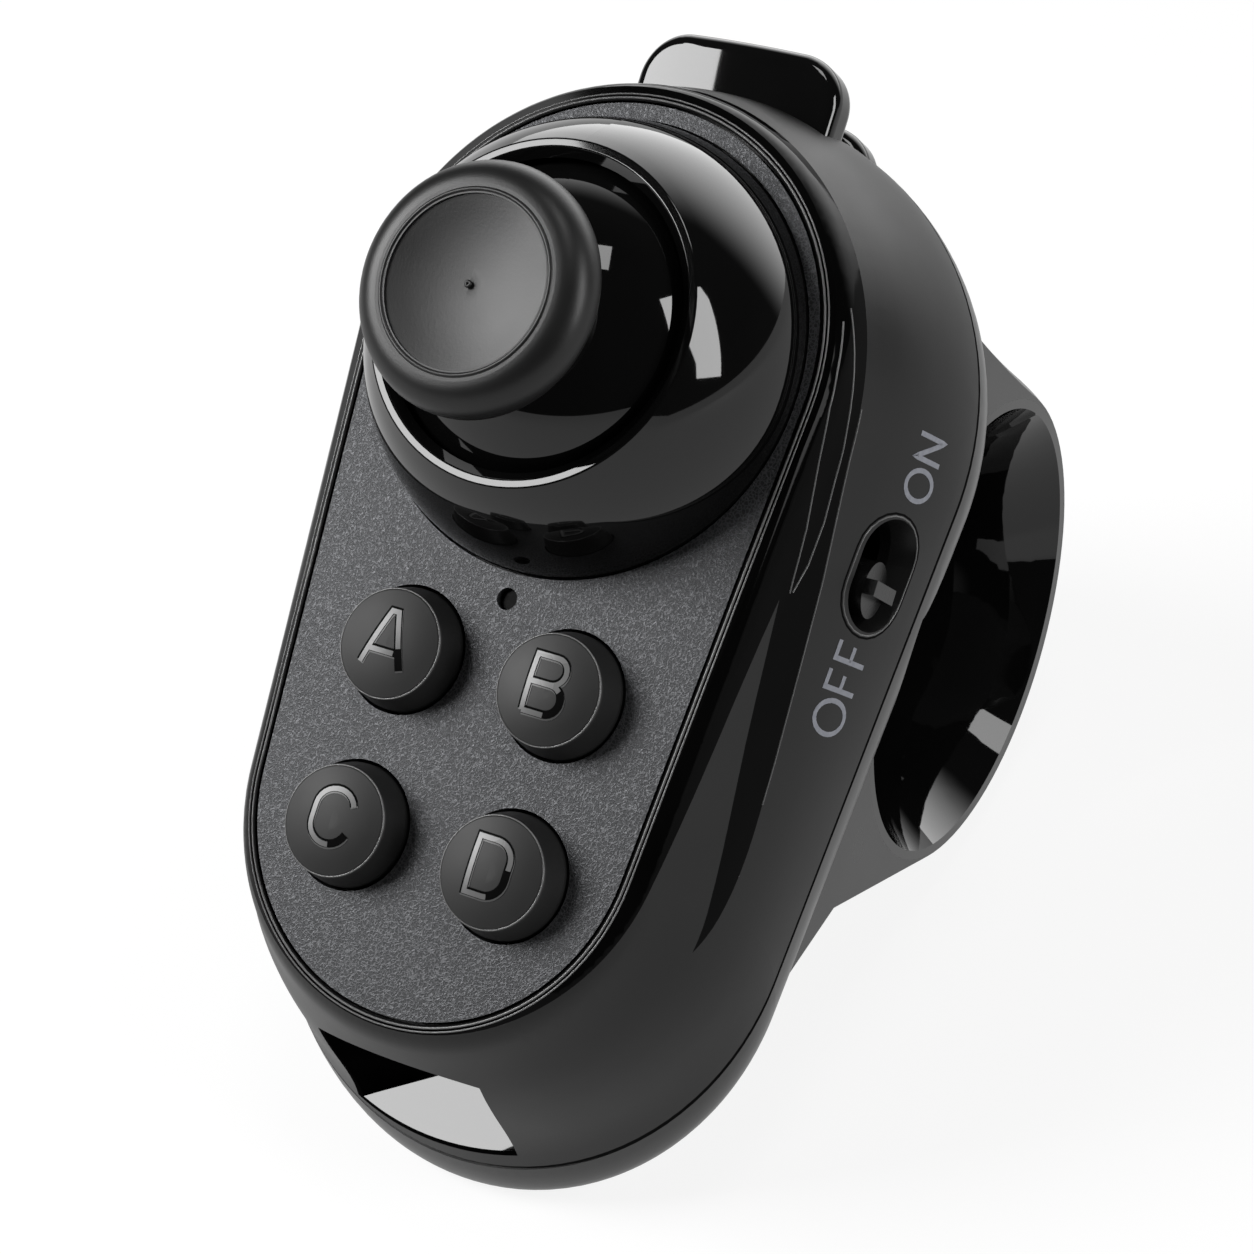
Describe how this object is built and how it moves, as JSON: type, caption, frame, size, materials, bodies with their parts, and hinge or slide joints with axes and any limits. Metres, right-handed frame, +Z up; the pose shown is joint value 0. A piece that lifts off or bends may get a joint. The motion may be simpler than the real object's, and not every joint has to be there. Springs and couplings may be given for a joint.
{
  "type": "one-handed ring remote",
  "caption": "Thumb-stick game remote worn on a finger, with face buttons, triggers at one end, a power switch and a finger ring underneath.",
  "frame": {"origin": "middle of the box's underside, on the surface that the remote rests on", "axes": "+Z up, +Y along the finger bore, away from the power switch's side; +X towards the raised stick and trigger end"},
  "size_m": [0.0618, 0.039, 0.0594],
  "materials": {
    "matte_shell": "fine matt black moulded plastic",
    "gloss_black": "polished black plastic",
    "window": "polished dark window insert",
    "plate": "gunmetal, fine rippled texture",
    "ring_shell": "semi-gloss black plastic",
    "rubber": "matt rubber",
    "buttons": "matt rubber-like",
    "mat": "translucent grey silicone",
    "board": "green solder mask",
    "steel": "plain steel",
    "parts": "moulded component plastic",
    "cell": "foil pouch",
    "clear": "clear light guide",
    "nylon": "natural nylon"
  },
  "bodies": {
    "base": {"upper_shell": "matte_shell", "front_trim": "gloss_black", "nose_window": "window", "face_plate": "plate", "ring_liner": "gloss_black", "lower_shell": "ring_shell", "stick_dome": "gloss_black", "stick_housing": "steel", "tilt_sensors": "parts", "stick_spring": "steel", "spring_cup": "nylon", "button_mat": "mat", "main_board": "board", "board_screws": "steel", "case_screws": "steel", "battery": "cell", "radio_module": "steel", "processor_chip": "parts", "usb_socket": "steel", "status_led": "clear", "light_pipe": "clear", "trigger_board": "board", "tact_switches": "parts", "power_switch": "parts"},
    "tilt_rocker": {"rocker_a": "nylon"},
    "stick": {"stick_shaft": "nylon", "stick_skirt": "gloss_black", "stick_cap": "rubber"},
    "bail_rocker": {"rocker_b": "nylon"},
    "button_a": {"button_a": "buttons"},
    "button_b": {"button_b": "buttons"},
    "button_c": {"button_c": "buttons"},
    "button_d": {"button_d": "buttons"},
    "upper_trigger": {"upper_trigger": "gloss_black"},
    "lower_trigger": {"lower_trigger": "gloss_black"},
    "power_knob": {"power_knob": "matte_shell"}
  },
  "joints": [
    {"name": "stick_fore_aft", "type": "hinge", "parent": "base", "child": "tilt_rocker", "pos_m": [0.00011, 0, 0.04374], "axis": [0, 1, 0], "range_deg": [-18, 18], "stiffness_Nm_per_rad": 0.02},
    {"name": "stick_side_to_side", "type": "hinge", "parent": "tilt_rocker", "child": "stick", "pos_m": [0.00011, 0, 0.04374], "axis": [0.7361, 0, 0.6769], "range_deg": [-18, 18], "stiffness_Nm_per_rad": 0.02},
    {"name": "bail_tilt", "type": "hinge", "parent": "base", "child": "bail_rocker", "pos_m": [0.00011, 0, 0.04374], "axis": [0.757, 0, 0.6534], "range_deg": [-18, 18]},
    {"name": "button_a_press", "type": "slide", "parent": "base", "child": "button_a", "axis": [0.6534, 0, -0.757], "range_m": [0, 0.0008], "stiffness_N_per_m": 400, "springref_m": -0.0005},
    {"name": "button_b_press", "type": "slide", "parent": "base", "child": "button_b", "axis": [0.6534, 0, -0.757], "range_m": [0, 0.0008], "stiffness_N_per_m": 400, "springref_m": -0.0005},
    {"name": "button_c_press", "type": "slide", "parent": "base", "child": "button_c", "axis": [0.6534, 0, -0.757], "range_m": [0, 0.0008], "stiffness_N_per_m": 400, "springref_m": -0.0005},
    {"name": "button_d_press", "type": "slide", "parent": "base", "child": "button_d", "axis": [0.6534, 0, -0.757], "range_m": [0, 0.0008], "stiffness_N_per_m": 400, "springref_m": -0.0005},
    {"name": "upper_trigger_press", "type": "slide", "parent": "base", "child": "upper_trigger", "axis": [-0.757, 0, -0.6534], "range_m": [0, 0.0008], "stiffness_N_per_m": 500, "springref_m": -0.0005},
    {"name": "lower_trigger_press", "type": "slide", "parent": "base", "child": "lower_trigger", "axis": [-0.757, 0, -0.6534], "range_m": [0, 0.0008], "stiffness_N_per_m": 500, "springref_m": -0.0005},
    {"name": "power_slide", "type": "slide", "parent": "base", "child": "power_knob", "axis": [0.757, 0, 0.6534], "range_m": [0, 0.0018]}
  ],
  "couplings": [
    {"joint": "bail_tilt", "follows": "stick_side_to_side", "ratio": 1}
  ]
}
